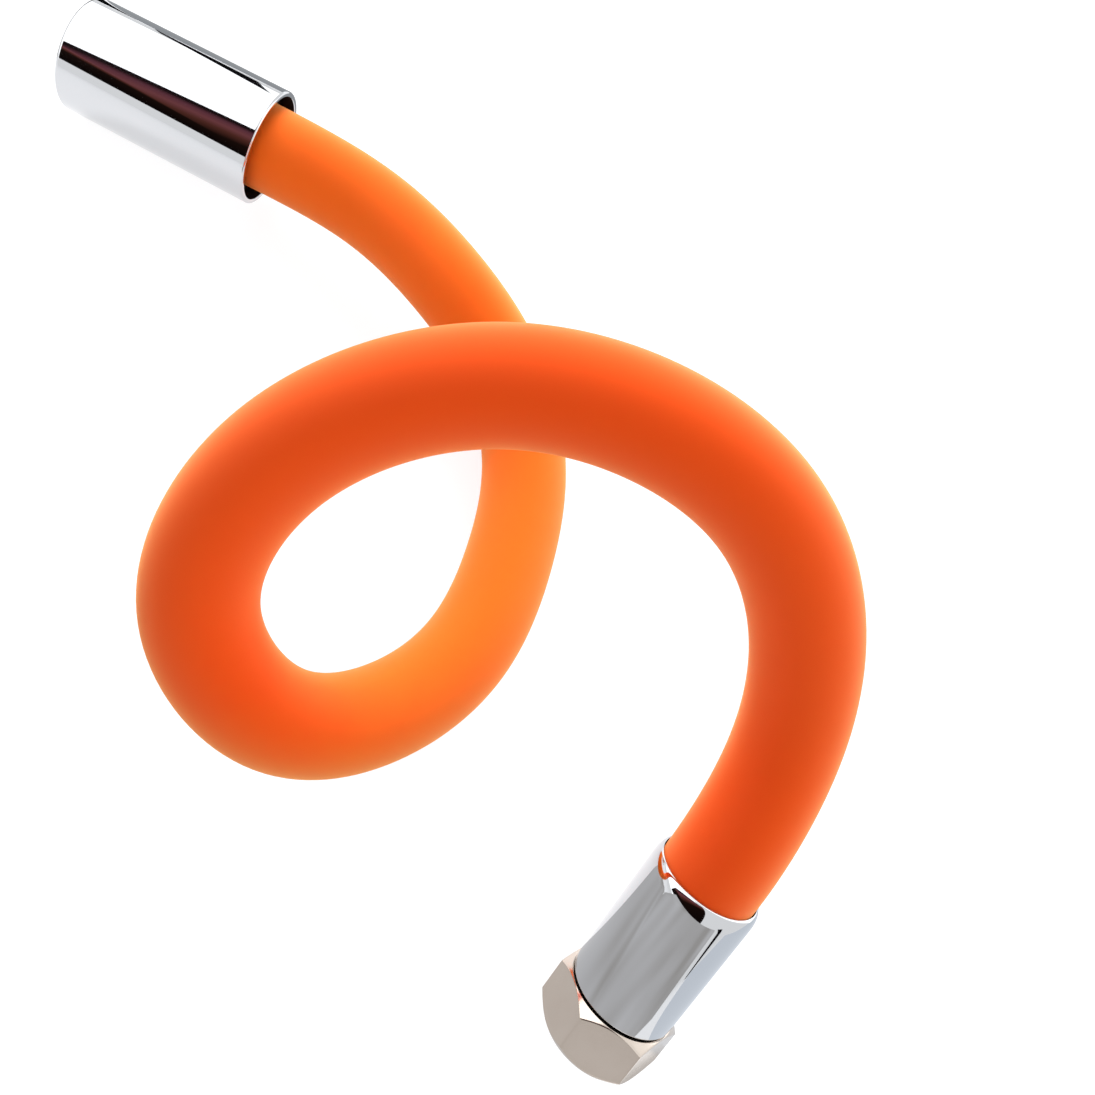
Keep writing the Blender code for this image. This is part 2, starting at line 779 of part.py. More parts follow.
# Strainer: a slotted dome that stands on a flat rim against the flow
rim_end = jet_start - SEAT_GAP
rim_start = rim_end - STRAINER_THICKNESS
dome_radius = diffuser_radius - 2 * SEAT_GAP
dome_bore = dome_radius - STRAINER_THICKNESS
dome_angles = [0.0, STRAINER_CROWN / 2, STRAINER_CROWN]
strainer = turned(
    "aerator_strainer",
    [
        (insert_radius, rim_end),
        (insert_radius, rim_start),
        *[(dome_radius * math.cos(a), rim_start - STRAINER_RISE * math.sin(a)) for a in dome_angles],
        *[(dome_bore * math.cos(a), rim_end - STRAINER_RISE * math.sin(a)) for a in reversed(dome_angles)],
    ],
    INSIDE_STEPS,
    white_acetal,
    outlet_end,
)
cut(
    strainer,
    radial_slot_cutter(
        "strainer_slot_cutter", STRAINER_SLOTS, math.pi / STRAINER_SLOTS, STRAINER_SLOT_WIDTH,
        STRAINER_HUB_RADIUS, dome_bore, rim_start - 2 * STRAINER_RISE, rim_start - SEAT_GAP, outlet_end,
    ),
)

screen_start = chamber_end + SEAT_GAP
for number in range(SCREEN_COUNT):
    turned_disc(
        f"aerator_screen_{number + 1}", insert_radius, screen_start, screen_start + SCREEN_THICKNESS,
        INSIDE_STEPS, steel_mesh, outlet_end,
    )
    screen_start += SCREEN_THICKNESS + SEAT_GAP

# Outlet grid: a disc with a pattern of hexagonal cells
grid_end = body_end - SEAT_GAP
grid = turned_disc(
    "aerator_outlet_grid", insert_radius, screen_start, grid_end, INSIDE_STEPS, white_acetal, outlet_end
)
cell_pitch = GRID_CELL + GRID_WEB
cell_radius = GRID_CELL / math.sqrt(3)
cell_places = []
cell_rows = int(insert_radius / cell_pitch) + 1
for column in range(-cell_rows, cell_rows + 1):
    for row in range(-cell_rows, cell_rows + 1):
        x = cell_pitch * math.sqrt(3) / 2 * column
        y = cell_pitch * (row + (column % 2) / 2)
        if math.hypot(x, y) + cell_radius < insert_radius - GRID_WEB:
            cell_places.append((x, y))
cut(
    grid,
    prism_cutter(
        "grid_cell_cutter", cell_places, cell_radius, 6, screen_start - SEAT_GAP, grid_end + SEAT_GAP,
        outlet_end,
    ),
)


def stand_on_origin():
    """Moves the whole hose so that the middle of its bounding box's underside is the origin."""
    bpy.context.view_layer.update()
    graph = bpy.context.evaluated_depsgraph_get()
    corners = []
    for item in bpy.data.objects:
        if item.type == "MESH" and not item.hide_render:
            seen = item.evaluated_get(graph)
            world = np.array(seen.matrix_world)
            points = np.array([vertex.co for vertex in seen.data.vertices])
            points = points @ world[:3, :3].T + world[:3, 3]
            corners += [points.min(axis=0), points.max(axis=0)]
    low, high = np.min(corners, axis=0), np.max(corners, axis=0)
    root.location = (-(low[0] + high[0]) / 2, -(low[1] + high[1]) / 2, -low[2])
    bpy.context.view_layer.update()


stand_on_origin()
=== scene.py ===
"""The looks of the faucet extension hose: its orange sleeve, chromed ferrules, swivel nut and aerator.

Every fitting is made in its own frame, with +Z out along the fitting's axis and z = 0 in the mouth
of its ferrule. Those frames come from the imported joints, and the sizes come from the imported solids
where they can be measured. Lengths are in millimetres until mesh_piece turns them into metres.
"""

import json
import math

import bmesh
import bpy
import numpy as np
from mathutils import Matrix, Vector


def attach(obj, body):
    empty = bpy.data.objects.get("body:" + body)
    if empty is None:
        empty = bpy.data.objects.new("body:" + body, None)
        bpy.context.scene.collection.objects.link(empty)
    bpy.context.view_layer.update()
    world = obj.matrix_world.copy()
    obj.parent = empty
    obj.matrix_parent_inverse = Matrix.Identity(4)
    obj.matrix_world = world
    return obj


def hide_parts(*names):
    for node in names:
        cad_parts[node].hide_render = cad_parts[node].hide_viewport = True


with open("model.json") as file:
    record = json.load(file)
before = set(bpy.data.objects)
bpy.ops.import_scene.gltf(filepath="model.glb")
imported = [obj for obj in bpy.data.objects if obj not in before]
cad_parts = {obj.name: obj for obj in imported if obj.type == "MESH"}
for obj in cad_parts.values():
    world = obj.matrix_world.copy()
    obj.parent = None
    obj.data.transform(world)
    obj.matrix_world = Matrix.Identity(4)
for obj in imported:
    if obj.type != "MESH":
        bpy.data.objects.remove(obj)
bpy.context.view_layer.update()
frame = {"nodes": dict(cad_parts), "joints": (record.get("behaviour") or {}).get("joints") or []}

MM = 0.001

# The hose's route, in mm: the centreline of the solid sleeve, before it is set on the floor
ROUTE = [
    (-108.5, 31.0, 14.0),
    (-77.5, 42.5, 16.5),
    (-53.5, 50.5, 17.5),
    (-26.5, 51.5, 18.0),
    (-3.5, 49.0, 13.5),
    (17.0, 36.5, 10.5),
    (31.0, 16.0, 11.0),
    (39.0, -8.0, 13.0),
    (36.5, -31.0, 17.5),
    (23.5, -49.0, 26.5),
    (2.5, -49.0, 40.5),
    (-5.5, -34.0, 56.5),
    (-0.5, -14.5, 71.5),
    (13.5, 2.0, 82.0),
    (35.0, 14.0, 87.0),
    (58.0, 19.5, 83.5),
    (79.5, 16.0, 70.5),
    (93.5, 4.0, 55.0),
    (101.0, -15.0, 40.5),
    (109.5, -38.0, 15.5),
]

# Sleeve: its ends reach into the ferrules by the grip, and the ferrules clear it by the gap
SLEEVE_RADIUS = 10.0
SLEEVE_WALL = 1.6
SLEEVE_GRIP = 12.0
SLEEVE_GAP = 0.3
SLEEVE_SIDES = 72
STATION_STEP = 1.5
GRIP_STEPS = 6

# Joint origins above the ferrules' mouths
NUT_JOINT_HEIGHT = 37.9
AERATOR_JOINT_HEIGHT = 38.0

# How finely turned pieces are drawn, and the angles from which a corner is straight and an edge sharp
ROUND_STEPS = 144
FILLET_STEPS = 6
STRAIGHT_ANGLE = math.radians(175)
SHARP_ANGLE = math.radians(38)
EDGE_BREAK = 0.12
SECTION_TOLERANCE = 0.005

# The inlet ferrule's lip, rolled over as a quarter oval, and its end wall
LIP_WIDTH = 1.0
LIP_DEPTH = 3.0
LIP_STEPS = 16
INLET_END_WALL = 2.2

# The barrel: the sunk mouth round the hose, its rim, which stays bright for a little way in before the
# # painted shade of the sunk mouth begins, and the ledge that the aerator's bore ends on
MOUTH_RECESS = 4.0
MOUTH_RIM = 1.2
MOUTH_BRIGHT_EDGE = 0.3
MOUTH_MARGIN = 0.1
AERATOR_LEDGE = 23.9
LEDGE_WIDTH = 1.0
BARREL_END_WALL = 1.7

# Nut: chamfers as (depth, width), and rows of points that are close together near the chamfers
NUT_ACROSS_FLATS = 23.0
NUT_TURN = math.radians(12.7)
NUT_TOP_CHAMFER = (1.7, 1.9)
NUT_END_CHAMFER = (2.5, 2.4)
NUT_EDGE_SOFTNESS = 0.06
NUT_BORE_BREAK = 0.3
NUT_FACE_INSET = 0.4
NUT_FLANGE = 2.0
NUT_STEPS = 288
NUT_TOP_ZONE = 2.6
NUT_END_ZONE = 3.4
NUT_FINE_STEP = 0.1
NUT_COARSE_STEP = 0.8

# Pipe thread G 1/2 in the nut
PIPE_THREAD_CREST_RADIUS = 18.63 / 2
PIPE_THREAD_PITCH = 1.814
PIPE_THREAD_DEPTH = 1.162
PIPE_THREAD_RELIEF = 2.6
PIPE_THREAD_START = 1.0
PIPE_THREAD_FADE = 0.8
PIPE_MOUTH_FLARE = 0.25
PIPE_MOUTH_BREAK = 0.1

# Fine thread M22 x 1 on the aerator housing, between a plain foot and a plain collar, and key notches
AERATOR_THREAD_PITCH = 1.0
AERATOR_THREAD_DEPTH = 0.55
AERATOR_THREAD_FADE = 0.6
THREAD_ROW_STEP = 0.12
HOUSING_BREAK = 0.1
HOUSING_FOOT = 0.3
HOUSING_COLLAR = 0.7
COLLAR_INSET = 0.25
COLLAR_SHOULDER = 0.5
COLLAR_BREAK = 0.2
LIP_INSET = 0.02
KEY_NOTCH_WIDTH = 3.0
KEY_NOTCH_INSET = 0.05
SEAL_SIDES = 20

# Painted light: the silicone is painted paler near the floor, as if lit from there; the heights between which
# its colour changes
PAINTED_LIGHT_BELOW = 24
PAINTED_LIGHT_ENDS_ABOVE = 46
PAINTED_LIGHT_SCATTER = 8

# Studio: what the matt surfaces get from the room, and what the floor shows of itself
ROOM_FILL = 0.48
FLOOR_GLOW = 0.85
FLOOR_REACH = 3000

# Lamps: each one's name, azimuth, elevation and power in watts
LAMP_SIZE = 450
LAMP_TARGET = (0, 0, 40)
LAMP_DISTANCE = 700
LAMPS = (
    ("rim_lamp_left", -50, 24, 6.6),
    ("rim_lamp_right", 52, 26, 6.0),
    ("front_lamp", 180, 61, 1.0),
)

# Panels and cards, in mm. The left panel is curved, between two azimuths and two elevations.
BRIGHT_PANEL_STRENGTH = 1.9
LEFT_PANEL_AZIMUTHS = (-152, -38)
LEFT_PANEL_ELEVATIONS = (8, 80)
LEFT_PANEL_DISTANCE = 900
LEFT_PANEL_STEPS = 24
BACK_PANEL = [(-40, 150, 2), (420, 150, 2), (420, 190, 480), (-40, 190, 480)]
GREY_FRONT = [(-15, -150, 0.5), (296, -150, 0.5), (296, -165, 92), (-15, -165, 92)]
# Painted shade: a grey card laid on the floor in front, seen only in mirrors, stands for the floor's shade
# near the fittings
PAINTED_FLOOR_SHADE = [(-50, -150, 0.5), (136, -150, 0.5), (136, -34, 0.5), (-40, -20, 0.5)]
BLUE_FLOOR = [(120, -28, 0.5), (700, -330, 0.5), (700, 300, 0.5), (120, 110, 0.5)]
STRIPE_CLOTH = [(-340, -298, 257), (78, -34, 719), (362, -533, 198), (-294, -370, 100)]
FAR_BAR = [(-128, 34, 0.5), (-430, 336, 0.5), (-520, 250, 0.5), (-160, 0, 0.5)]
FAR_GREY = [(-60, 70, 0.5), (-330, 420, 0.5), (-430, 337, 0.5), (-127, 35, 0.5)]

# Bars seen from a fitting's mouth: a distance, then the corners as (azimuth, elevation)
HORIZON_BAR = 450, [(-49, -2.2), (-38, 4), (-38, 22), (-49, 4)]
CORNER_BAR = 420, [(118.5, -4.5), (119.5, -4.5), (123, 14), (115, 14)]

# The dark cloth's colours from its lower edge to its upper edge
CLOTH_COLOURS = (
    (0.05, "#1E1012"),
    (0.11, "#6A3A44"),
    (0.18, "#7C4548"),
    (0.26, "#5A3028"),
    (0.37, "#1C100C"),
)

# Camera, found from the photograph: its place, its tilt below the horizon and its roll
CAMERA_PLACE = (35.94, -86.64, 214.59)
CAMERA_TILT = math.radians(61.35)
CAMERA_ROLL = math.radians(46.01)
IMAGE_PIXELS = 1095
FOCAL_PIXELS = 1000
SENSOR_WIDTH = 36.0
CLIP_START_M = 0.01
CLIP_END_M = 20.0


def linear(code):
    """An sRGB hex colour as the linear RGBA that Blender's sockets take."""
    channels = [int(code[start : start + 2], 16) / 255 for start in (1, 3, 5)]
    return [c / 12.92 if c <= 0.04045 else ((c + 0.055) / 1.055) ** 2.4 for c in channels] + [1.0]


def add(tree, kind, values=None, links=None):
    """Adds a node, sets its sockets or properties by name or number, and links other sockets into it."""
    node = tree.nodes.new(kind)
    for name, value in (values or {}).items():
        if isinstance(name, int) or name in node.inputs:
            node.inputs[name].default_value = value
        else:
            setattr(node, name, value)
    for name, source in (links or {}).items():
        tree.links.new(source, node.inputs[name])
    return node


def finish(name, **sockets):
    """A material with one Principled shader, and that shader's tree."""
    made = bpy.data.materials.new(name)
    made.use_nodes = True
    shader = made.node_tree.nodes["Principled BSDF"]
    for socket, value in sockets.items():
        shader.inputs[socket.replace("_", " ")].default_value = value
    return made, made.node_tree, shader


def relief(tree, shader, height, depth_mm):
    """Raises the surface by a pattern of 0 to 1 times a depth in mm."""
    bump = add(tree, "ShaderNodeBump", {"Strength": 1.0, "Distance": depth_mm * MM}, {"Height": height})
    tree.links.new(bump.outputs["Normal"], shader.inputs["Normal"])


def grain(tree, size_mm, detail=2.0):
    """Noise in the object's own space, whose features are about size_mm across."""
    place = add(tree, "ShaderNodeTexCoord")
    return add(
        tree,
        "ShaderNodeTexNoise",
        {"Scale": 1 / (size_mm * MM), "Detail": detail, "Roughness": 0.5},
        {"Vector": place.outputs["Object"]},
    ).outputs["Fac"]


def tint(tree, shader, factor, codes):
    """Colours the surface by a pattern, from one sRGB colour to another."""
    ramp = add(tree, "ShaderNodeValToRGB", {}, {"Fac": factor})
    for element, code in zip(ramp.color_ramp.elements, codes):
        element.color = linear(code)
    tree.links.new(ramp.outputs["Color"], shader.inputs["Base Color"])


def lathe_rings(tree, place, pitch_mm):
    """Fine rings about a fitting's axis, one pitch apart, as a turning tool leaves them."""
    where = add(tree, "ShaderNodeTexCoord")
    along = add(
        tree,
        "ShaderNodeVectorMath",
        {"operation": "DOT_PRODUCT", 1: tuple(place.to_3x3().col[2])},
        {0: where.outputs["Object"]},
    )
    phase = add(
        tree,
        "ShaderNodeMath",
        {"operation": "MULTIPLY", 1: 2 * math.pi / (pitch_mm * MM)},
        {0: along.outputs["Value"]},
    )
    wave = add(tree, "ShaderNodeMath", {"operation": "SINE"}, {0: phase.outputs[0]})
    return add(
        tree, "ShaderNodeMath", {"operation": "MULTIPLY_ADD", 1: 0.5, 2: 0.5}, {0: wave.outputs[0]}
    ).outputs[0]


def moulded_orange_silicone():
    """Moulded silicone rubber: saturated orange-red all through, matt, with the pale orange bloom that
    silicone shows where it is seen at a low angle. Near the floor its colour is painted paler, as
    painted light, with a cloudy change between the two colours."""
    made, tree, shader = finish(
        "moulded_orange_silicone",
        Roughness=0.5,
        IOR=1.41,
        Specular_IOR_Level=0.06,
        Subsurface_Weight=0.15,
        Subsurface_Radius=(1.0, 0.18, 0.05),
        Subsurface_Scale=2.0 * MM,
        Sheen_Weight=0.9,
        Sheen_Roughness=0.55,
        Sheen_Tint=linear("#FFC27A"),
    )
    where = add(tree, "ShaderNodeTexCoord")
    height = add(tree, "ShaderNodeSeparateXYZ", {}, {0: where.outputs["Object"]}).outputs["Z"]
    clouded = add(
        tree,
        "ShaderNodeMath",
        {"operation": "MULTIPLY_ADD", 1: PAINTED_LIGHT_SCATTER * MM},
        {0: grain(tree, 14.0, detail=3.0), 2: height},
    )
    painted_light_fade = add(
        tree,
        "ShaderNodeMapRange",
        {"interpolation_type": "SMOOTHSTEP", "From Min": PAINTED_LIGHT_BELOW * MM, "From Max": PAINTED_LIGHT_ENDS_ABOVE * MM},
        {"Value": clouded.outputs[0]},
    )
    # Painted light: paler orange low down, as if lit from the floor, and deeper red higher up
    tint(tree, shader, painted_light_fade.outputs[0], ("#F26812", "#F24A07"))
    # The mould's fine blast texture, drawn at 0.5 mm so that it shows at all
    relief(tree, shader, grain(tree, 0.5, detail=1.0), 0.004)
    return made


def polished_chrome():
    """Bright chrome plate on polished brass: a mirror that gives back two thirds of the light, with the
    faint waves that buffing leaves."""
    made, tree, shader = finish("polished_chrome", Metallic=1.0, Roughness=0.04)
    tint(tree, shader, grain(tree, 20.0), ("#CDCFD2", "#D3D5D8"))
    relief(tree, shader, grain(tree, 9.0, detail=1.0), 0.004)
    return made


def painted_shade_groove():
    """Painted shade for the bottom of the barrel's sunk mouth: dull, near black metal that stands for the
    shade in the recess.
    """
    made, tree, shader = finish("painted_shade_groove", Metallic=1.0, Roughness=0.55)
    tint(tree, shader, grain(tree, 1.2, detail=3.0), ("#1D1917", "#2C2522"))
    relief(tree, shader, grain(tree, 0.5), 0.01)
    return made


def barrelled_nickel():
    """Barrel-plated nickel on the nut: warmer and less sharp than the ferrules' chrome."""
    made, tree, shader = finish("barrelled_nickel", Metallic=1.0, Roughness=0.17)
    tint(tree, shader, grain(tree, 6.0, detail=3.0), ("#D9CCC0", "#E2D7CC"))
    # Tumbling leaves fine dents of about half a millimetre
    relief(tree, shader, grain(tree, 0.6, detail=2.0), 0.0025)
    return made


def turned_brass(place):
    """Bare turned brass: yellow, with the rings of the turning tool a tenth of a millimetre apart, drawn
    at a quarter of a millimetre."""
    made, tree, shader = finish("turned_brass", Metallic=1.0, Roughness=0.28)
    tint(tree, shader, grain(tree, 3.0), ("#BF9850", "#CDA962"))
    relief(tree, shader, lathe_rings(tree, place, 0.25), 0.006)
    return made


def pressed_aluminium():
    """Soft aluminium pressed in a die: dull grey with drawn streaks."""
    made, tree, shader = finish("pressed_aluminium", Metallic=1.0, Roughness=0.42)
    tint(tree, shader, grain(tree, 1.5, detail=4.0), ("#B9BBBE", "#CACCCF"))
    relief(tree, shader, grain(tree, 0.8), 0.004)
    return made


def drawn_spring_steel():
    """Drawn spring wire: bright, slightly oily steel."""
    made, tree, shader = finish("drawn_spring_steel", Metallic=1.0, Roughness=0.3)
    tint(tree, shader, grain(tree, 2.0, detail=3.0), ("#A9ADB2", "#BEC1C5"))
    relief(tree, shader, grain(tree, 0.5), 0.003)
    return made


def zinc_plated_steel():
    """Zinc plate on the wedge wire: a cloudy grey with a bluish cast."""
    made, tree, shader = finish("zinc_plated_steel", Metallic=1.0, Roughness=0.38)
    tint(tree, shader, grain(tree, 2.5, detail=4.0), ("#9AA0A8", "#B2B4B3"))
    relief(tree, shader, grain(tree, 0.7), 0.004)
    return made


def extruded_hose_rubber():
    """The inner water hose: pale extruded elastomer with a dull skin."""
    made, tree, shader = finish("extruded_hose_rubber", Roughness=0.42, IOR=1.5)
    tint(tree, shader, grain(tree, 5.0, detail=3.0), ("#E2DECF", "#ECE9E0"))
    relief(tree, shader, grain(tree, 0.6), 0.004)
    return made


def moulded_black_rubber():
    """Moulded nitrile rubber for seals: near black, dull, faintly grainy."""
    made, tree, shader = finish("moulded_black_rubber", Roughness=0.65, IOR=1.52)
    tint(tree, shader, grain(tree, 0.8, detail=4.0), ("#1E1E1F", "#2C2C2D"))
    relief(tree, shader, grain(tree, 0.35, detail=3.0), 0.012)
    return made


def moulded_white_acetal():
    """Injection-moulded acetal: milky white, a soft gloss and a slight glow."""
    made, tree, shader = finish(
        "moulded_white_acetal",
        Roughness=0.35,
        IOR=1.48,
        Subsurface_Weight=0.15,
        Subsurface_Scale=0.6 * MM,
    )
    tint(tree, shader, grain(tree, 4.0), ("#E4E4DF", "#EDEDE9"))
    relief(tree, shader, grain(tree, 0.5), 0.003)
    return made


def woven_steel_mesh():
    """Stainless wire woven at 0.3 mm, drawn as crossed waves of light and dark."""
    made, tree, shader = finish("woven_steel_mesh", Metallic=1.0, Roughness=0.4)
    place = add(tree, "ShaderNodeTexCoord")
    weave = [
        add(
            tree,
            "ShaderNodeTexWave",
            {"bands_direction": direction, "Scale": 1 / (0.6 * MM) / 20},
            {"Vector": place.outputs["Object"]},
        ).outputs["Fac"]
        for direction in ("X", "Y")
    ]
    crossed = add(tree, "ShaderNodeMath", {"operation": "MAXIMUM"}, {0: weave[0], 1: weave[1]}).outputs[0]
    tint(tree, shader, crossed, ("#3A3C3F", "#B9BDC2"))
    relief(tree, shader, crossed, 0.05)
    return made


def spline_slopes(points, chords, first, last):
    """Slopes at the points of a curve with continuous curvature, given the slopes at its ends."""
    count = len(points)
    weights = np.zeros((count, count))
    right = np.zeros((count, 3))
    weights[0, 0] = weights[-1, -1] = 1
    right[0], right[-1] = first, last
    steps = np.diff(points, axis=0)
    for i in range(1, count - 1):
        before, after = chords[i - 1], chords[i]
        weights[i, i - 1 : i + 2] = 1 / before, 2 / before + 2 / after, 1 / after
        right[i] = 3 * (steps[i - 1] / before**2 + steps[i] / after**2)
    return np.linalg.solve(weights, right)


def hose_centreline():
    """Close points along the hose between the ferrules' mouths, and its unit directions there."""
    points = np.array(ROUTE)
    outlet_way = points[1] - points[0]
    inlet_way = points[-1] - points[-2]
    middle = points[1:-1]
    chords = np.linalg.norm(np.diff(middle, axis=0), axis=1)
    slopes = spline_slopes(
        middle, chords, outlet_way / np.linalg.norm(outlet_way), inlet_way / np.linalg.norm(inlet_way)
    )
    line = []
    ways = []
    for i, chord in enumerate(chords):
        count = max(2, round(chord / STATION_STEP))
        start, end = middle[i], middle[i + 1]
        a, b = slopes[i] * chord, slopes[i + 1] * chord
        for t in np.arange(count + (i == len(chords) - 1)) / count:
            line.append(
                (2 * t**3 - 3 * t**2 + 1) * start + (t**3 - 2 * t**2 + t) * a
                + (3 * t**2 - 2 * t**3) * end + (t**3 - t**2) * b
            )
            way = (6 * t**2 - 6 * t) * (start - end) + (3 * t**2 - 4 * t + 1) * a + (3 * t**2 - 2 * t) * b
            ways.append(way / np.linalg.norm(way))
    return np.array(line), np.array(ways)


def fitting_frame(joint_name, height):
    """A fitting's frame from its joint: +Z along the axis, +X level, z = 0 a height before the joint."""
    joint = next(j for j in frame["joints"] if j["name"] == joint_name)
    out = Vector(joint["axis"]).normalized()
    level = Vector((0, 0, 1)).cross(out).normalized()
    turn = Matrix((level, out.cross(level), out)).transposed().to_4x4()
    mouth = Vector(joint["pos_m"]) - out * height * MM
    return Matrix.Translation(mouth) @ turn


inlet = fitting_frame("inlet_nut_spin", NUT_JOINT_HEIGHT)
outlet = fitting_frame("aerator_unscrew", AERATOR_JOINT_HEIGHT)


def measured(node, place):
    """A solid's corners in a fitting's frame, in mm, and their radii about its axis."""
    points = np.array([vertex.co for vertex in frame["nodes"][node].data.vertices])
    inverse = np.array(place.inverted())
    local = (points @ inverse[:3, :3].T + inverse[:3, 3]) / MM
    return local, np.hypot(local[:, 0], local[:, 1])


def reach(node, place):
    """A solid's extent in a fitting's frame, in mm: lowest and highest z, smallest and largest radius."""
    local, radii = measured(node, place)
    return local[:, 2].min(), local[:, 2].max(), radii.min(), radii.max()


def placed(name, data):
    """An object made from its data and linked into the scene."""
    made = bpy.data.objects.new(name, data)
    bpy.context.scene.collection.objects.link(made)
    return made


def mesh_piece(name, rows, material, place=None):
    """Skins rows of points, each a ring, into a smooth piece that joins its last ring to its first."""
    rows = np.array(rows) * MM
    count, steps = rows.shape[:2]
    points = rows.reshape(-1, 3)
    if place is not None:
        turn = np.array(place)
        points = points @ turn[:3, :3].T + turn[:3, 3]
    around = np.arange(steps)
    after = (around + 1) % steps
    faces = []
    for row in range(count):
        here, onward = row * steps, (row + 1) % count * steps
        faces += np.stack([here + around, here + after, onward + after, onward + around], axis=1).tolist()
    mesh = bpy.data.meshes.new(name)
    mesh.from_pydata(points.tolist(), [], faces)
    shell = bmesh.new()
    shell.from_mesh(mesh)
    bmesh.ops.recalc_face_normals(shell, faces=shell.faces[:])
    shell.to_mesh(mesh)
    shell.free()
    mesh.shade_smooth()
    mesh.set_sharp_from_angle(angle=SHARP_ANGLE)
    mesh.materials.append(material)
    return placed(name, mesh)


def ring_row(radius, height, steps=NUT_STEPS):
    """A ring of points about the axis, with one radius or a radius for each point."""
    angles = 2 * np.pi * np.arange(steps) / steps
    return np.stack([radius * np.cos(angles), radius * np.sin(angles), np.full(steps, height)], axis=1)


def rounded(corners):
    """A closed profile of (radius, height, fillet) corners, with each corner turned into an arc."""
    points = []
    count = len(corners)
    for i, (radius, height, fillet) in enumerate(corners):
        here = np.array((radius, height))
        before = np.array(corners[i - 1][:2]) - here
        after = np.array(corners[(i + 1) % count][:2]) - here
        lengths = np.linalg.norm(before), np.linalg.norm(after)
        before, after = before / lengths[0], after / lengths[1]
        opening = math.acos(max(-1.0, min(1.0, float(before @ after))))
        if fillet <= 0 or opening > STRAIGHT_ANGLE:
            points.append(tuple(here))
            continue
        # A fillet takes less than half of the shorter side
        setback = min(fillet / math.tan(opening / 2), 0.49 * min(lengths))
        size = setback * math.tan(opening / 2)
        middle = (before + after) / np.linalg.norm(before + after)
        centre = here + middle * size / math.sin(opening / 2)
        start = here + before * setback - centre
        end = here + after * setback - centre
        sweep = math.atan2(start[0] * end[1] - start[1] * end[0], float(start @ end))
        for k in range(FILLET_STEPS + 1):
            a = sweep * k / FILLET_STEPS
            x = start[0] * math.cos(a) - start[1] * math.sin(a)
            y = start[0] * math.sin(a) + start[1] * math.cos(a)
            points.append((centre[0] + x, centre[1] + y))
    return points


def turned(name, corners, place, material):
    """A piece turned about a fitting's axis, from the corners of its profile."""
    rows = [ring_row(radius, height, ROUND_STEPS) for radius, height in rounded(corners)]
    return mesh_piece(name, rows, material, place)


def oval_corner(radius, height, width, depth):
    """Profile points of a lip that curves over as a quarter oval, from its face to its side."""
    angles = [math.pi / 2 * k / LIP_STEPS for k in range(LIP_STEPS + 1)]
    return [
        (radius - width + width * math.sin(a), height + depth - depth * math.cos(a), 0) for a in angles
    ]


def profile_of(node, place):
    """The (radius, height) corners of a turned solid, followed along the edges of one half section."""
    local, radii = measured(node, place)
    angles = np.arctan2(local[:, 1], local[:, 0])
    aside = np.abs((angles - angles[radii.argmax()] + math.pi) % (2 * math.pi) - math.pi)
    corners = {
        i: (round(float(radii[i]), 2), round(float(local[i, 2]), 2))
        for i in np.flatnonzero(aside < SECTION_TOLERANCE)
    }
    beside = {}
    for edge in frame["nodes"][node].data.edges:
        first, second = (corners.get(i) for i in edge.vertices)
        if first and second and first != second:
            beside.setdefault(first, set()).add(second)
            beside.setdefault(second, set()).add(first)
    walk = [min(beside)]
    while True:
        onward = sorted(beside[walk[-1]] - set(walk))
        if not onward:
            return walk
        walk.append(onward[0])


def smooth_twin(name, node, place, material):
    """A turned solid made round, with its edges slightly broken."""
    return turned(name, [(*corner, EDGE_BREAK) for corner in profile_of(node, place)], place, material)


def threaded_rows(radius, depth, pitch, start, end, fade):
    """Rows of a right-hand screw thread outside a radius, which fades in and out over a length."""
    angles = 2 * np.pi * np.arange(NUT_STEPS) / NUT_STEPS
    rows = []
    for height in np.linspace(start, end, max(2, int((end - start) / THREAD_ROW_STEP))):
        turns = height / pitch - angles / (2 * np.pi)
        share = min(1.0, (height - start) / fade, (end - height) / fade)
        rise = depth * max(share, 0.0) * (0.5 - 0.5 * np.cos(2 * np.pi * turns))
        rows.append(ring_row(radius + rise, height))
    return rows


def soft_least(*values):
    """The least of several radii, with their crossings rounded over."""
    stacked = np.stack(values)
    return -NUT_EDGE_SOFTNESS * np.log(np.sum(np.exp(-stacked / NUT_EDGE_SOFTNESS), axis=0))


def orange_sleeve(material):
    """The silicone sleeve, as one open tube whose ends are held inside the two ferrules."""
    line, ways = hose_centreline()
    line = line + np.array(outlet.translation) / MM - line[0]
    ways_out = -np.array(outlet.to_3x3().col[2]), np.array(inlet.to_3x3().col[2])
    before = [line[0] - ways_out[0] * SLEEVE_GRIP * (1 - k / GRIP_STEPS) for k in range(GRIP_STEPS)]
    after = [line[-1] + ways_out[1] * SLEEVE_GRIP * (k + 1) / GRIP_STEPS for k in range(GRIP_STEPS)]
    line = np.vstack([before, line, after])
    ways = np.vstack([[ways[0]] * GRIP_STEPS, ways, [ways[-1]] * GRIP_STEPS])
    across = np.cross(ways[0], (0, 0, 1))
    across /= np.linalg.norm(across)
    angles = 2 * np.pi * np.arange(SLEEVE_SIDES) / SLEEVE_SIDES
    outside = []
    inside = []
    for centre, way in zip(line, ways):
        across = across - way * (across @ way)
        across /= np.linalg.norm(across)
        beside = np.cross(way, across)
        circle = np.outer(np.cos(angles), across) + np.outer(np.sin(angles), beside)
        outside.append(centre + SLEEVE_RADIUS * circle)
        inside.append(centre + (SLEEVE_RADIUS - SLEEVE_WALL) * circle)
    return mesh_piece("orange_sleeve", outside + inside[::-1], material)


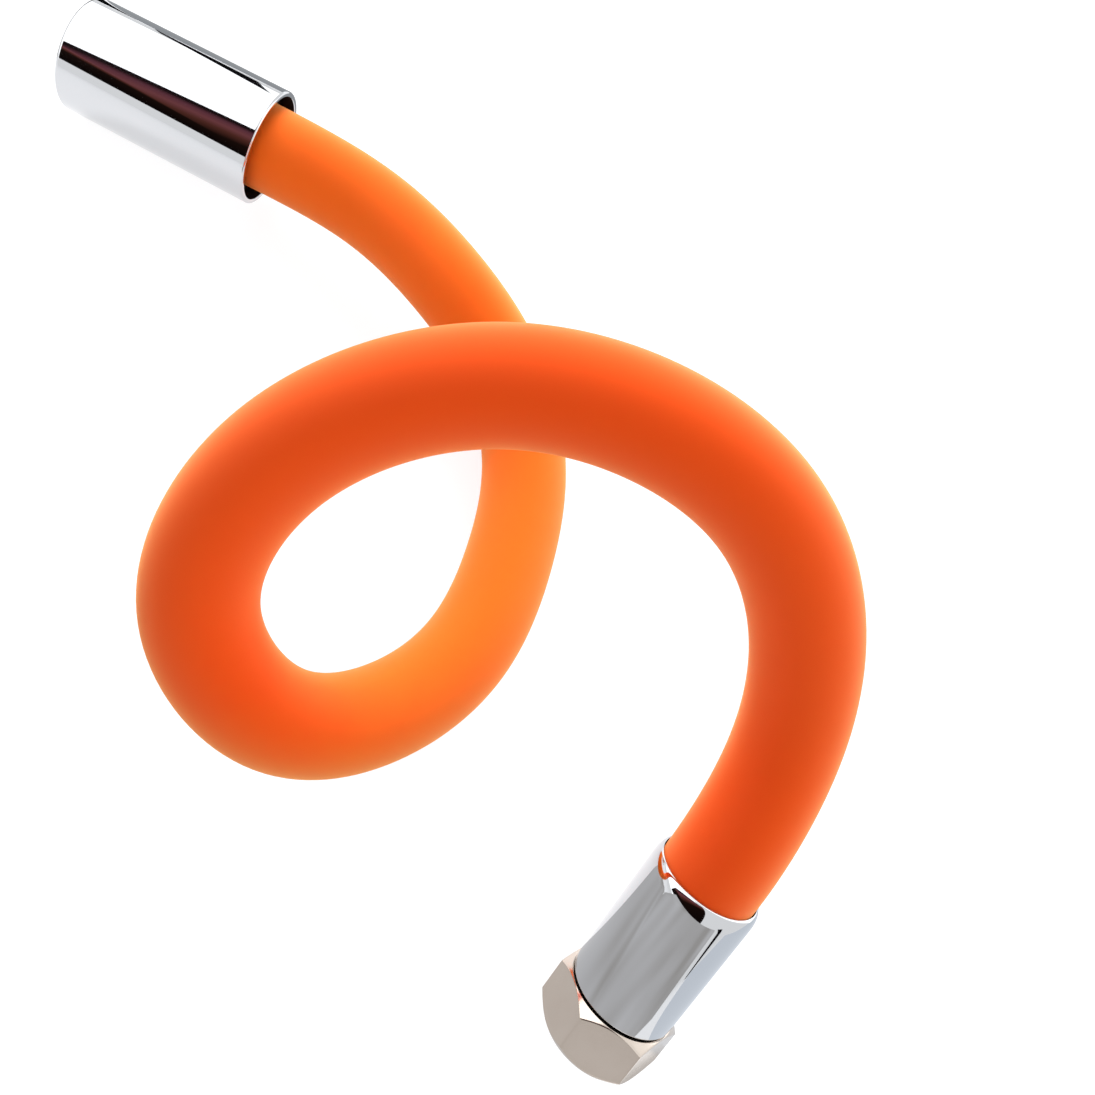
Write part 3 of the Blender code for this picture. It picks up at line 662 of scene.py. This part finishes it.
def inlet_shell(material):
    """The pressed ferrule at the inlet, with a rolled lip at its mouth."""
    low, high, hole, radius = reach("inlet_ferrule", inlet)
    bore = SLEEVE_RADIUS + SLEEVE_GAP
    floor = high - INLET_END_WALL
    profile = [
        (bore, floor, 0),
        (bore, low, 0.2),
        *oval_corner(radius, low, LIP_WIDTH, LIP_DEPTH),
        (radius, high, 0.4),
        (hole, high, 0.1),
        (hole, floor, 0.1),
    ]
    return turned("inlet_shell", profile, inlet, material)


def nut_body(material):
    """The hexagonal swivel nut: a hexagon bar, chamfered by a cone at each end, with a pipe thread inside."""
    low, high, hole, _ = reach("inlet_nut", inlet)
    tall = high - low
    flange = low + NUT_FLANGE
    half_flats = NUT_ACROSS_FLATS / 2
    corner = half_flats / math.cos(math.pi / 6)
    angles = 2 * np.pi * np.arange(NUT_STEPS) / NUT_STEPS
    # Each flat counts only on its own side, where the cosine is well above zero
    flats = [
        half_flats / np.maximum(np.cos(angles - NUT_TURN - math.radians(60 * k + 30)), 0.3) for k in range(6)
    ]
    top_depth, top_width = NUT_TOP_CHAMFER
    end_depth, end_width = NUT_END_CHAMFER
    heights = np.concatenate([
        np.arange(0, NUT_TOP_ZONE, NUT_FINE_STEP),
        np.arange(NUT_TOP_ZONE, tall - NUT_END_ZONE, NUT_COARSE_STEP),
        tall - np.arange(NUT_END_ZONE, -NUT_FINE_STEP / 2, -NUT_FINE_STEP),
    ])
    rows = [
        ring_row(hole, flange),
        ring_row(hole, low + NUT_BORE_BREAK),
        ring_row(hole + NUT_BORE_BREAK, low),
        ring_row(corner - top_width - NUT_FACE_INSET, low),
    ]
    for height in heights:
        top_cone = np.full(NUT_STEPS, corner - top_width + height * top_width / top_depth)
        end_cone = np.full(NUT_STEPS, corner - end_width + (tall - height) * end_width / end_depth)
        rows.append(ring_row(soft_least(*flats, top_cone, end_cone), low + height))
    root = PIPE_THREAD_CREST_RADIUS + PIPE_THREAD_DEPTH
    rows.append(ring_row(root + PIPE_MOUTH_FLARE, high))
    rows.append(ring_row(root + PIPE_MOUTH_BREAK, high - PIPE_MOUTH_BREAK))
    rows += threaded_rows(
        PIPE_THREAD_CREST_RADIUS,
        PIPE_THREAD_DEPTH,
        PIPE_THREAD_PITCH,
        flange + PIPE_THREAD_RELIEF,
        high - PIPE_THREAD_START,
        PIPE_THREAD_FADE,
    )[::-1]
    rows.append(ring_row(PIPE_THREAD_CREST_RADIUS, flange))
    return mesh_piece("nut_body", rows, material, inlet)


def outlet_barrel(material, painted_shade_material):
    """The long plain barrel on the outlet, with a sunk mouth round the hose."""
    low, high, _, radius = reach("outlet_ferrule", outlet)
    bore = SLEEVE_RADIUS + SLEEVE_GAP
    aerator_bore = bore + LEDGE_WIDTH
    mouth_radius = radius - MOUTH_RIM
    profile = [
        (bore, AERATOR_LEDGE, 0),
        (bore, MOUTH_RECESS, 0.2),
        (mouth_radius, MOUTH_RECESS, 0.3),
        (mouth_radius, low, 0.25),
        (radius, low, 0.5),
        (aerator_bore + BARREL_END_WALL, high, 1.5),
        (aerator_bore, high, 0.3),
        (aerator_bore, AERATOR_LEDGE, 0),
    ]
    barrel = turned("outlet_barrel", profile, outlet, material)
    # Painted shade: the faces in the sunk mouth, inside the bright rim, get the near black material
    barrel.data.materials.append(painted_shade_material)
    inverse = outlet.inverted()
    for face in barrel.data.polygons:
        centre = inverse @ face.center / MM
        sunk = low + MOUTH_BRIGHT_EDGE < centre.z < MOUTH_RECESS + MOUTH_MARGIN
        if sunk and math.hypot(centre.x, centre.y) < mouth_radius + MOUTH_MARGIN:
            face.material_index = 1
    return barrel


def aerator_ring(material):
    """The ring that screws into the barrel: a fine outer thread and two notches for a key in its lip."""
    profile = profile_of("aerator_housing", outlet)
    low, high, _, radius = reach("aerator_housing", outlet)
    bore = sorted({corner[0] for corner in profile})[1]
    lip = min(corner[0] for corner in profile)
    lip_start = sorted({corner[1] for corner in profile})[1]
    angles = 2 * np.pi * np.arange(NUT_STEPS) / NUT_STEPS
    notched = np.abs((angles + np.pi / 2) % np.pi - np.pi / 2) < KEY_NOTCH_WIDTH / 2 / bore
    lip_radii = np.where(notched, bore - KEY_NOTCH_INSET, lip)
    root = radius - AERATOR_THREAD_DEPTH
    collar = radius - COLLAR_INSET
    rows = [
        ring_row(bore, low + HOUSING_BREAK),
        ring_row(bore + HOUSING_BREAK, low),
        ring_row(root - HOUSING_BREAK, low),
        ring_row(root, low + HOUSING_BREAK),
        *threaded_rows(
            root,
            AERATOR_THREAD_DEPTH,
            AERATOR_THREAD_PITCH,
            low + HOUSING_FOOT,
            high - HOUSING_COLLAR,
            AERATOR_THREAD_FADE,
        ),
        ring_row(collar, high - COLLAR_SHOULDER),
        ring_row(collar, high - COLLAR_BREAK),
        ring_row(collar - COLLAR_BREAK, high),
        ring_row(bore + LIP_INSET, high),
        ring_row(lip_radii, high),
        ring_row(lip_radii, lip_start),
        ring_row(bore, lip_start),
    ]
    return mesh_piece("aerator_ring", rows, material, outlet)


def seal_ring(material):
    """The round O-ring in the outlet insert's groove."""
    profile = profile_of("outlet_o_ring", outlet)
    inner, outer = min(profile)[0], max(profile)[0]
    heights = [corner[1] for corner in profile]
    section, middle = (outer - inner) / 2, (min(heights) + max(heights)) / 2
    circle = [2 * math.pi * k / SEAL_SIDES for k in range(SEAL_SIDES)]
    centre = (inner + outer) / 2
    corners = [(centre + section * math.cos(a), middle + section * math.sin(a), 0) for a in circle]
    return turned("seal_ring", corners, outlet, material)


def show(piece, body, slot, *nodes):
    """Makes a piece ride on a body and stand for its solids. The slot is not used."""
    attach(piece, body)
    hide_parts(*nodes)


silicone = moulded_orange_silicone()
chrome = polished_chrome()
nickel = barrelled_nickel()
inlet_brass = turned_brass(inlet)
outlet_brass = turned_brass(outlet)
aluminium = pressed_aluminium()
spring_steel = drawn_spring_steel()
zinc_steel = zinc_plated_steel()
hose_rubber = extruded_hose_rubber()
black_rubber = moulded_black_rubber()
acetal = moulded_white_acetal()
steel_mesh = woven_steel_mesh()

NODE_FINISHES = {
    "gooseneck_round_wire": spring_steel,
    "gooseneck_wedge_wire": zinc_steel,
    "inner_hose": hose_rubber,
    "aerator_body": acetal,
    "aerator_strainer": acetal,
    "aerator_jet_plate": acetal,
    "aerator_outlet_grid": acetal,
    "aerator_screen_1": steel_mesh,
    "aerator_screen_2": steel_mesh,
}
for node, material in NODE_FINISHES.items():
    solid = frame["nodes"][node]
    solid.data.materials.clear()
    solid.data.materials.append(material)

show(orange_sleeve(silicone), "hose", "orange_silicone", "outer_sleeve")
show(inlet_shell(chrome), "hose", "chrome", "inlet_ferrule")
show(nut_body(nickel), "swivel_nut", "chrome", "inlet_nut")
show(outlet_barrel(chrome, painted_shade_groove()), "hose", "chrome", "outlet_ferrule")
show(aerator_ring(chrome), "aerator_ring", "chrome", "aerator_housing")
show(seal_ring(black_rubber), "hose", "black_rubber", "outlet_o_ring")
for name, node, place, material, slot in (
    ("inlet_stem", "inlet_insert", inlet, inlet_brass, "brass"),
    ("outlet_stem", "outlet_insert", outlet, outlet_brass, "brass"),
    ("inlet_crimp", "inlet_crimp_ring", inlet, aluminium, "aluminium"),
    ("outlet_crimp", "outlet_crimp_ring", outlet, aluminium, "aluminium"),
    ("nut_washer", "inlet_washer", inlet, black_rubber, "black_rubber"),
    ("outlet_washer", "aerator_washer", outlet, black_rubber, "black_rubber"),
):
    show(smooth_twin(name, node, place, material), "hose", slot, node)


def staged(name, points, faces, material):
    """A surface of the studio, which belongs to no body. The points are in metres."""
    mesh = bpy.data.meshes.new(name)
    mesh.from_pydata(points, [], faces)
    mesh.materials.append(material)
    made = placed(name, mesh)
    return made


def hide_from_camera(card, only_mirrored=True):
    """Keeps a card out of the picture, and by default from all rays but those of mirrors."""
    card.visible_camera = False
    if only_mirrored:
        card.visible_diffuse = False
        card.visible_shadow = False


def stage_card(name, corners, material, only_mirrored=True):
    """A four-cornered card of the studio, in mm, whose pattern runs across it from corner to corner."""
    points = [tuple(c * MM for c in corner) for corner in corners]
    card = staged(name, points, [(0, 1, 2, 3)], material)
    across = card.data.uv_layers.new(name="across")
    for loop, place in zip(across.data, ((0, 0), (1, 0), (1, 1), (0, 1))):
        loop.uv = place
    hide_from_camera(card, only_mirrored)


def towards(place, azimuth, elevation, distance):
    """The point at a distance from a place, with azimuth 0 at the back and 90 at the right, in degrees."""
    a, e = math.radians(azimuth), math.radians(elevation)
    way = Vector((math.sin(a) * math.cos(e), math.cos(a) * math.cos(e), math.sin(e)))
    return tuple(Vector(place) + distance * way)


def stage_tent(name, azimuths, elevations, distance, material):
    """A curved panel of the studio's light tent, between two azimuths and two elevations."""
    count = LEFT_PANEL_STEPS
    points = [
        towards((0, 0, 0), azimuth, elevation, distance * MM)
        for elevation in np.linspace(*elevations, count)
        for azimuth in np.linspace(*azimuths, count)
    ]
    faces = [
        (r * count + c, r * count + c + 1, (r + 1) * count + c + 1, (r + 1) * count + c)
        for r in range(count - 1)
        for c in range(count - 1)
    ]
    hide_from_camera(staged(name, points, faces, material))


def stage_bar(name, place, bar, material):
    """A narrow card in a given direction from a fitting's mouth."""
    distance, corners = bar
    mouth = tuple(c / MM for c in place.translation)
    stage_card(name, [towards(mouth, *direction, distance) for direction in corners], material)


def bare_material(name):
    """A material whose tree is empty, and that tree."""
    made = bpy.data.materials.new(name)
    made.use_nodes = True
    made.node_tree.nodes.clear()
    return made, made.node_tree


def glowing_by(tree, colour):
    """Makes a material give off a colour that comes from its own tree."""
    light = add(tree, "ShaderNodeEmission", {"Strength": 1.0}, {"Color": colour})
    add(tree, "ShaderNodeOutputMaterial", {}, {"Surface": light.outputs[0]})


def card_paint(name, code, strength=1.0):
    """A studio card that gives off an even light of one colour."""
    made, tree = bare_material(name)
    light = add(tree, "ShaderNodeEmission", {"Color": linear(code), "Strength": strength})
    add(tree, "ShaderNodeOutputMaterial", {}, {"Surface": light.outputs[0]})
    return made


def cloudy_card():
    """A grey card with soft lighter clouds, which the inlet ferrule and the nut mirror in their middle. Laid
    on the floor in front, it is painted shade for the floor there.
    """
    made, tree = bare_material("cloudy_card")
    ramp = add(tree, "ShaderNodeValToRGB", {}, {"Fac": grain(tree, 70.0, detail=1.0)})
    for element, position, code in zip(ramp.color_ramp.elements, (0.3, 0.7), ("#B2AFAC", "#D6D5D6")):
        element.position, element.color = position, linear(code)
    glowing_by(tree, ramp.outputs["Color"])
    return made


def dark_cloth():
    """A dark brown cloth with black edges, which the barrel mirrors as its long stripe."""
    made, tree = bare_material("dark_cloth")
    place = add(tree, "ShaderNodeTexCoord")
    split = add(tree, "ShaderNodeSeparateXYZ", {}, {0: place.outputs["UV"]})
    ramp = add(tree, "ShaderNodeValToRGB", {}, {"Fac": split.outputs["Y"]})
    stops = ramp.color_ramp.elements
    stops[0].position, stops[0].color = 0.0, linear("#1C1214")
    stops[1].position, stops[1].color = 1.0, linear("#0C0808")
    for position, code in CLOTH_COLOURS:
        stops.new(position).color = linear(code)
    glowing_by(tree, ramp.outputs["Color"])
    return made


def seen_or_mirrored(tree):
    """1 for rays from the camera, a mirror or glass, and 0 for the rays that carry light to matt surfaces."""
    paths = add(tree, "ShaderNodeLightPath")
    either = add(
        tree,
        "ShaderNodeMath",
        {"operation": "MAXIMUM"},
        {0: paths.outputs["Is Camera Ray"], 1: paths.outputs["Is Glossy Ray"]},
    )
    return add(
        tree,
        "ShaderNodeMath",
        {"operation": "MAXIMUM"},
        {0: either.outputs[0], 1: paths.outputs["Is Transmission Ray"]},
    ).outputs[0]


def floor_paint():
    """A pale matt floor that is seen as white, with a faint shadow left in it."""
    made, tree = bare_material("pale_floor")
    matt = add(tree, "ShaderNodeBsdfDiffuse", {"Color": linear("#E9EAEC")})
    faint = add(tree, "ShaderNodeBsdfDiffuse", {"Color": linear("#8C8C8E")})
    glow = add(tree, "ShaderNodeEmission", {"Color": (1, 1, 1, 1), "Strength": FLOOR_GLOW})
    seen = add(tree, "ShaderNodeAddShader", {}, {0: faint.outputs[0], 1: glow.outputs[0]})
    mixed = add(
        tree, "ShaderNodeMixShader", {}, {0: seen_or_mirrored(tree), 1: matt.outputs[0], 2: seen.outputs[0]}
    )
    add(tree, "ShaderNodeOutputMaterial", {}, {"Surface": mixed.outputs[0]})
    return made


def white_room():
    """A world that is seen as white, and that fills the shadows with a neutral light."""
    world = bpy.data.worlds.new("white_room")
    bpy.context.scene.world = world
    world.use_nodes = True
    tree = world.node_tree
    tree.nodes.clear()
    fill = add(tree, "ShaderNodeBackground", {"Color": (1, 1, 1, 1), "Strength": ROOM_FILL})
    seen = add(tree, "ShaderNodeBackground", {"Color": (1, 1, 1, 1), "Strength": 1.0})
    mixed = add(
        tree, "ShaderNodeMixShader", {}, {0: seen_or_mirrored(tree), 1: fill.outputs[0], 2: seen.outputs[0]}
    )
    add(tree, "ShaderNodeOutputWorld", {}, {"Surface": mixed.outputs[0]})


def soft_lamp(name, azimuth, elevation, power):
    """A soft lamp that only matt surfaces show: the rim lamps brighten the hose's rims."""
    data = bpy.data.lights.new(name, "AREA")
    data.size = LAMP_SIZE * MM
    data.energy = power
    lamp = placed(name, data)
    place = Vector(towards(LAMP_TARGET, azimuth, elevation, LAMP_DISTANCE)) * MM
    lamp.location = place
    lamp.rotation_mode = "QUATERNION"
    lamp.rotation_quaternion = (place - Vector(LAMP_TARGET) * MM).to_track_quat("Z", "Y")
    lamp.visible_glossy = False
    lamp.visible_camera = False


def studio():
    """A white tent with bright panels at the left and the back, and the dark cards that chrome needs."""
    white_room()
    far = FLOOR_REACH * MM
    floor_corners = [(-far, -far, 0), (far, -far, 0), (far, far, 0), (-far, far, 0)]
    staged("floor", floor_corners, [(0, 1, 2, 3)], floor_paint())
    bright = card_paint("bright_panel", "#FFFFFF", BRIGHT_PANEL_STRENGTH)
    grey = cloudy_card()
    pale_blue = card_paint("pale_blue_card", "#E4EAF2")
    slate = card_paint("slate_card", "#A5A8AB")
    black = card_paint("black_card", "#101012")
    stage_tent("panel_left", LEFT_PANEL_AZIMUTHS, LEFT_PANEL_ELEVATIONS, LEFT_PANEL_DISTANCE, bright)
    stage_card("panel_back", BACK_PANEL, bright, only_mirrored=False)
    stage_card("grey_front", GREY_FRONT, grey)
    # Painted shade for the floor in front, which only mirrors see
    stage_card("painted_floor_shade_card", PAINTED_FLOOR_SHADE, grey)
    stage_card("blue_floor", BLUE_FLOOR, pale_blue)
    stage_card("stripe_cloth", STRIPE_CLOTH, dark_cloth())
    stage_bar("horizon_bar", outlet, HORIZON_BAR, black)
    stage_card("far_bar", FAR_BAR, black)
    stage_card("far_grey", FAR_GREY, slate)
    stage_bar("corner_bar", inlet, CORNER_BAR, black)
    for lamp in LAMPS:
        soft_lamp(*lamp)


def photo_camera():
    """A camera at the photograph's viewing angle and distance."""
    data = bpy.data.cameras.new("photo_camera")
    data.sensor_width = SENSOR_WIDTH
    data.lens = SENSOR_WIDTH * FOCAL_PIXELS / IMAGE_PIXELS
    data.clip_start = CLIP_START_M
    data.clip_end = CLIP_END_M
    camera = placed("photo_camera", data)
    tilt = Matrix.Rotation(math.pi / 2 - CAMERA_TILT, 4, "X")
    roll = Matrix.Rotation(CAMERA_ROLL, 4, "Z")
    camera.matrix_world = Matrix.Translation(Vector(CAMERA_PLACE) * MM) @ tilt @ roll
    bpy.context.scene.camera = camera


studio()
photo_camera()
bpy.context.scene.view_settings.view_transform = "Standard"
